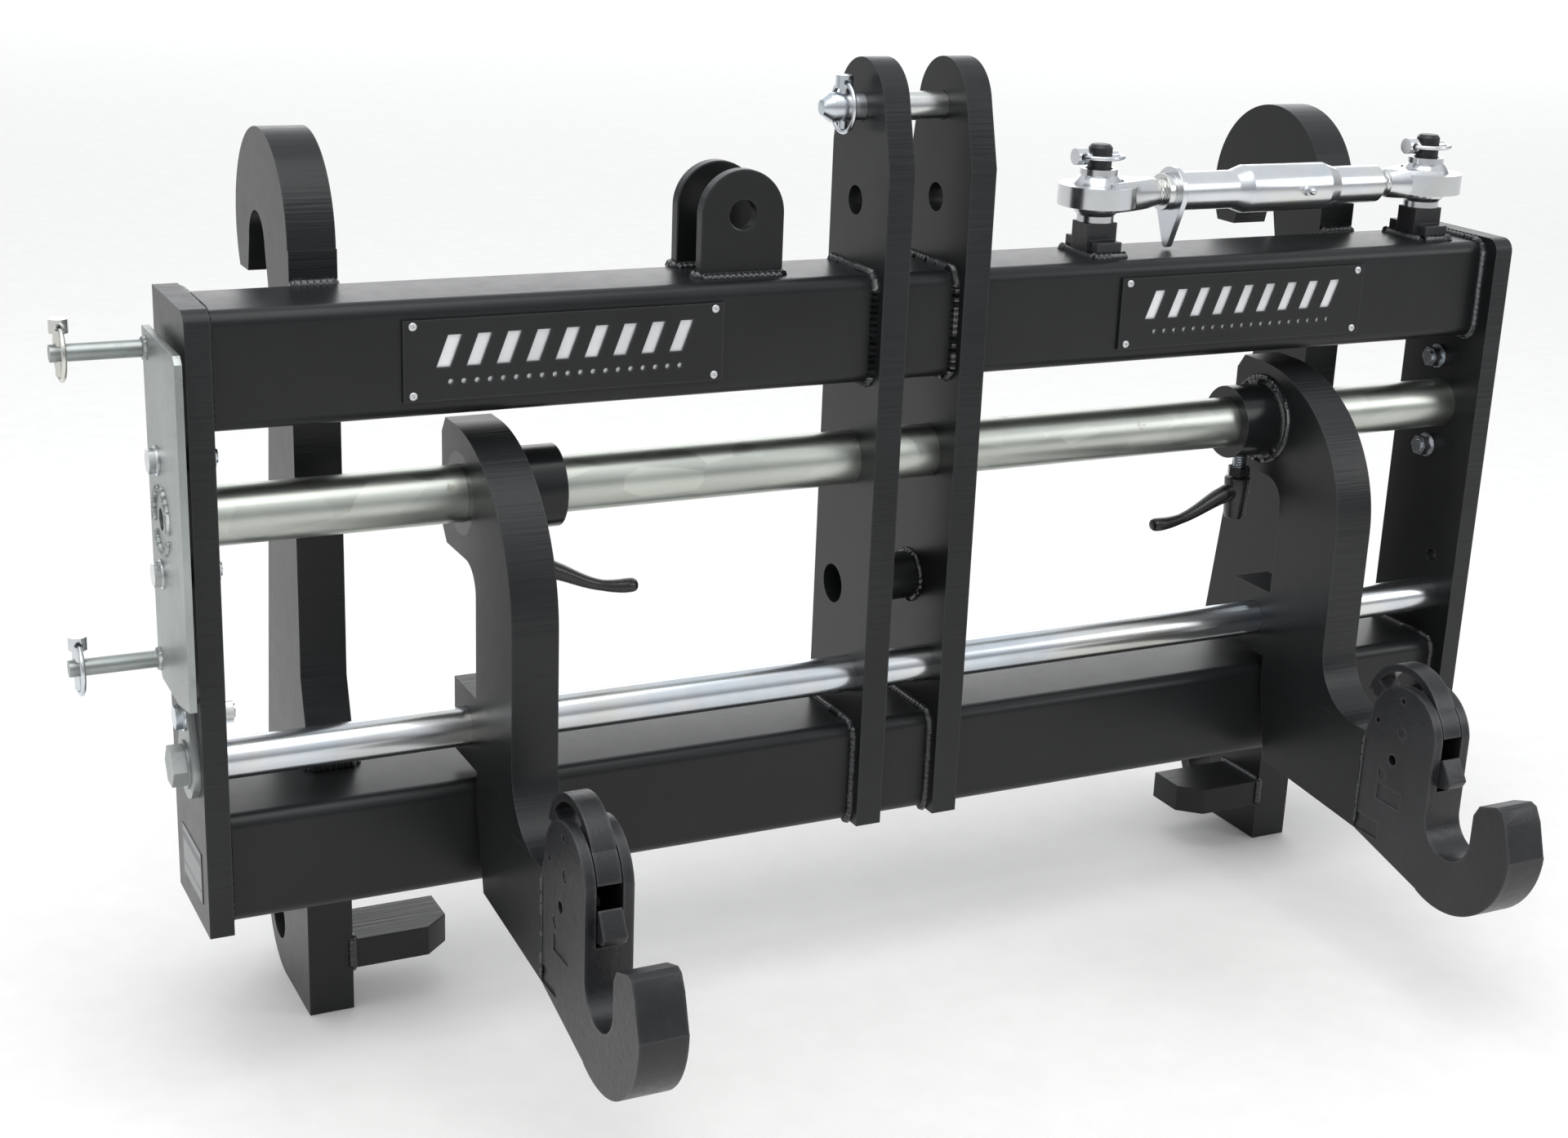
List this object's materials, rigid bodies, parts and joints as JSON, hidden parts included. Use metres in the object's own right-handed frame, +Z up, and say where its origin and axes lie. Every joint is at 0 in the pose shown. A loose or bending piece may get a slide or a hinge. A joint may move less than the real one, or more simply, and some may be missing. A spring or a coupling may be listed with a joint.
{
  "type": "three-point linkage adaptor frame",
  "caption": "Hitch frame with a mast, sliding lower-link hook arms on rails, rear hook-on brackets, a stowed top link and a side storage rack.",
  "frame": {"origin": "on the underside of the bottom beam, midway between the end plates and midway through the beam's depth", "axes": "+X along the beams from the storage rack side to the other end, +Y from the hook arms towards the rear brackets, +Z up along the mast"},
  "size_m": [1.3879, 0.637, 0.84],
  "materials": {
    "frame_paint": "semi-gloss black paint",
    "forged_black": "satin black, forged skin",
    "black_oxide": "satin black",
    "galvanised": "dull zinc with faint spangle",
    "bright_zinc": "bright zinc plating",
    "ground_steel": "ground steel",
    "name_metal": "satin metal behind the name plates",
    "label_foil": "satin foil"
  },
  "bodies": {
    "frame": {"top_beam": "frame_paint", "bottom_beam": "frame_paint", "left_end_plate": "frame_paint", "right_end_plate": "frame_paint", "left_mast_plate": "frame_paint", "right_mast_plate": "frame_paint", "mast_tube": "frame_paint", "upper_rail": "galvanised", "lower_rail": "bright_zinc", "left_hitch_bracket": "frame_paint", "right_hitch_bracket": "frame_paint", "left_stop_block": "frame_paint", "right_stop_block": "frame_paint", "clevis_lugs": "frame_paint", "link_posts": "frame_paint", "name_plates": "black_oxide", "name_backings": "name_metal", "name_rivets": "name_metal", "type_label": "label_foil", "storage_plate": "bright_zinc", "storage_pegs": "bright_zinc", "rack_spacers": "bright_zinc", "rack_bolts": "bright_zinc", "frame_nuts": "bright_zinc", "rail_tab": "bright_zinc", "rail_end_bolt": "bright_zinc", "right_rail_cover": "bright_zinc", "post_lynch_pins": "bright_zinc", "peg_lynch_pins": "bright_zinc", "left_link_end": "bright_zinc", "right_link_end": "bright_zinc"},
    "left_arm": {"left_arm_plate": "frame_paint", "left_collar": "frame_paint", "left_hook": "forged_black", "left_hook_pins": "ground_steel"},
    "left_latch": {"left_latch": "forged_black"},
    "left_lever": {"left_release_lever": "forged_black"},
    "left_clamp": {"left_clamp_screw": "black_oxide", "left_clamp_handle": "black_oxide"},
    "right_arm": {"right_arm_plate": "frame_paint", "right_collar": "frame_paint", "right_hook": "forged_black", "right_hook_pins": "ground_steel"},
    "right_latch": {"right_latch": "forged_black"},
    "right_lever": {"right_release_lever": "forged_black"},
    "right_clamp": {"right_clamp_screw": "black_oxide", "right_clamp_handle": "black_oxide"},
    "top_pin": {"mast_pin": "bright_zinc", "mast_lynch_pin": "bright_zinc"},
    "top_pin_ring": {"mast_lynch_ring": "bright_zinc"},
    "left_post_ring": {"left_post_ring": "bright_zinc"},
    "right_post_ring": {"right_post_ring": "bright_zinc"},
    "upper_peg_ring": {"upper_peg_ring": "bright_zinc"},
    "lower_peg_ring": {"lower_peg_ring": "bright_zinc"},
    "left_ball": {"left_link_ball": "ground_steel"},
    "right_ball": {"right_link_ball": "ground_steel"},
    "tube": {"link_tube": "bright_zinc"},
    "lock_plate": {"link_lock_plate": "bright_zinc"}
  },
  "joints": [
    {"name": "left_arm_slide", "type": "slide", "parent": "frame", "child": "left_arm", "axis": [1, 0, 0], "range_m": [-0.19, 0.195]},
    {"name": "left_lever_turn", "type": "hinge", "parent": "left_arm", "child": "left_lever", "pos_m": [-0.395, -0.261, 0.103], "axis": [-1, 0, 0], "range_deg": [0, 16], "stiffness_Nm_per_rad": 1, "springref_deg": -17.19},
    {"name": "left_latch_turn", "type": "hinge", "parent": "left_arm", "child": "left_latch", "pos_m": [-0.395, -0.241, 0.055], "axis": [-1, 0, 0], "range_deg": [0, 32]},
    {"name": "left_clamp_turn", "type": "hinge", "parent": "left_arm", "child": "left_clamp", "pos_m": [-0.3535, -0.012, 0.28], "axis": [0, 0, 1], "range_deg": [-90, 90]},
    {"name": "right_arm_slide", "type": "slide", "parent": "frame", "child": "right_arm", "axis": [1, 0, 0], "range_m": [-0.22, 0.16]},
    {"name": "right_lever_turn", "type": "hinge", "parent": "right_arm", "child": "right_lever", "pos_m": [0.423, -0.261, 0.103], "axis": [-1, 0, 0], "range_deg": [0, 16], "stiffness_Nm_per_rad": 1, "springref_deg": -17.19},
    {"name": "right_latch_turn", "type": "hinge", "parent": "right_arm", "child": "right_latch", "pos_m": [0.423, -0.241, 0.055], "axis": [-1, 0, 0], "range_deg": [0, 32]},
    {"name": "right_clamp_turn", "type": "hinge", "parent": "right_arm", "child": "right_clamp", "pos_m": [0.3815, -0.012, 0.28], "axis": [0, 0, 1], "range_deg": [-90, 90]},
    {"name": "top_pin_turn", "type": "hinge", "parent": "frame", "child": "top_pin", "pos_m": [0, -0.004, 0.648], "axis": [1, 0, 0], "continuous": true},
    {"name": "top_pin_ring_flip", "type": "hinge", "parent": "top_pin", "child": "top_pin_ring", "pos_m": [-0.0695, -0.004, 0.669], "axis": [0, 1, 0], "range_deg": [0, 150]},
    {"name": "left_post_ring_flip", "type": "hinge", "parent": "frame", "child": "left_post_ring", "pos_m": [0.177, 0, 0.599], "axis": [0, -1, 0], "range_deg": [0, 150]},
    {"name": "right_post_ring_flip", "type": "hinge", "parent": "frame", "child": "right_post_ring", "pos_m": [0.559, 0, 0.599], "axis": [0, -1, 0], "range_deg": [0, 150]},
    {"name": "upper_peg_ring_flip", "type": "hinge", "parent": "frame", "child": "upper_peg_ring", "pos_m": [-0.721, 0.024, 0.491], "axis": [0, 1, 0], "range_deg": [0, 150]},
    {"name": "lower_peg_ring_flip", "type": "hinge", "parent": "frame", "child": "lower_peg_ring", "pos_m": [-0.721, 0.024, 0.234], "axis": [0, 1, 0], "range_deg": [0, 150]},
    {"name": "left_ball_turn", "type": "hinge", "parent": "frame", "child": "left_ball", "pos_m": [0.198, 0, 0.564], "axis": [0, 0, 1], "continuous": true},
    {"name": "right_ball_turn", "type": "hinge", "parent": "frame", "child": "right_ball", "pos_m": [0.58, 0, 0.564], "axis": [0, 0, 1], "continuous": true},
    {"name": "tube_turn", "type": "hinge", "parent": "frame", "child": "tube", "pos_m": [0.4, 0, 0.564], "axis": [1, 0, 0], "range_deg": [-90, 90]},
    {"name": "lock_plate_turn", "type": "hinge", "parent": "frame", "child": "lock_plate", "pos_m": [0.278, 0, 0.564], "axis": [1, 0, 0], "range_deg": [-90, 90]}
  ],
  "couplings": [
    {"joint": "left_latch_turn", "follows": "left_lever_turn", "ratio": 2},
    {"joint": "right_latch_turn", "follows": "right_lever_turn", "ratio": 2}
  ]
}
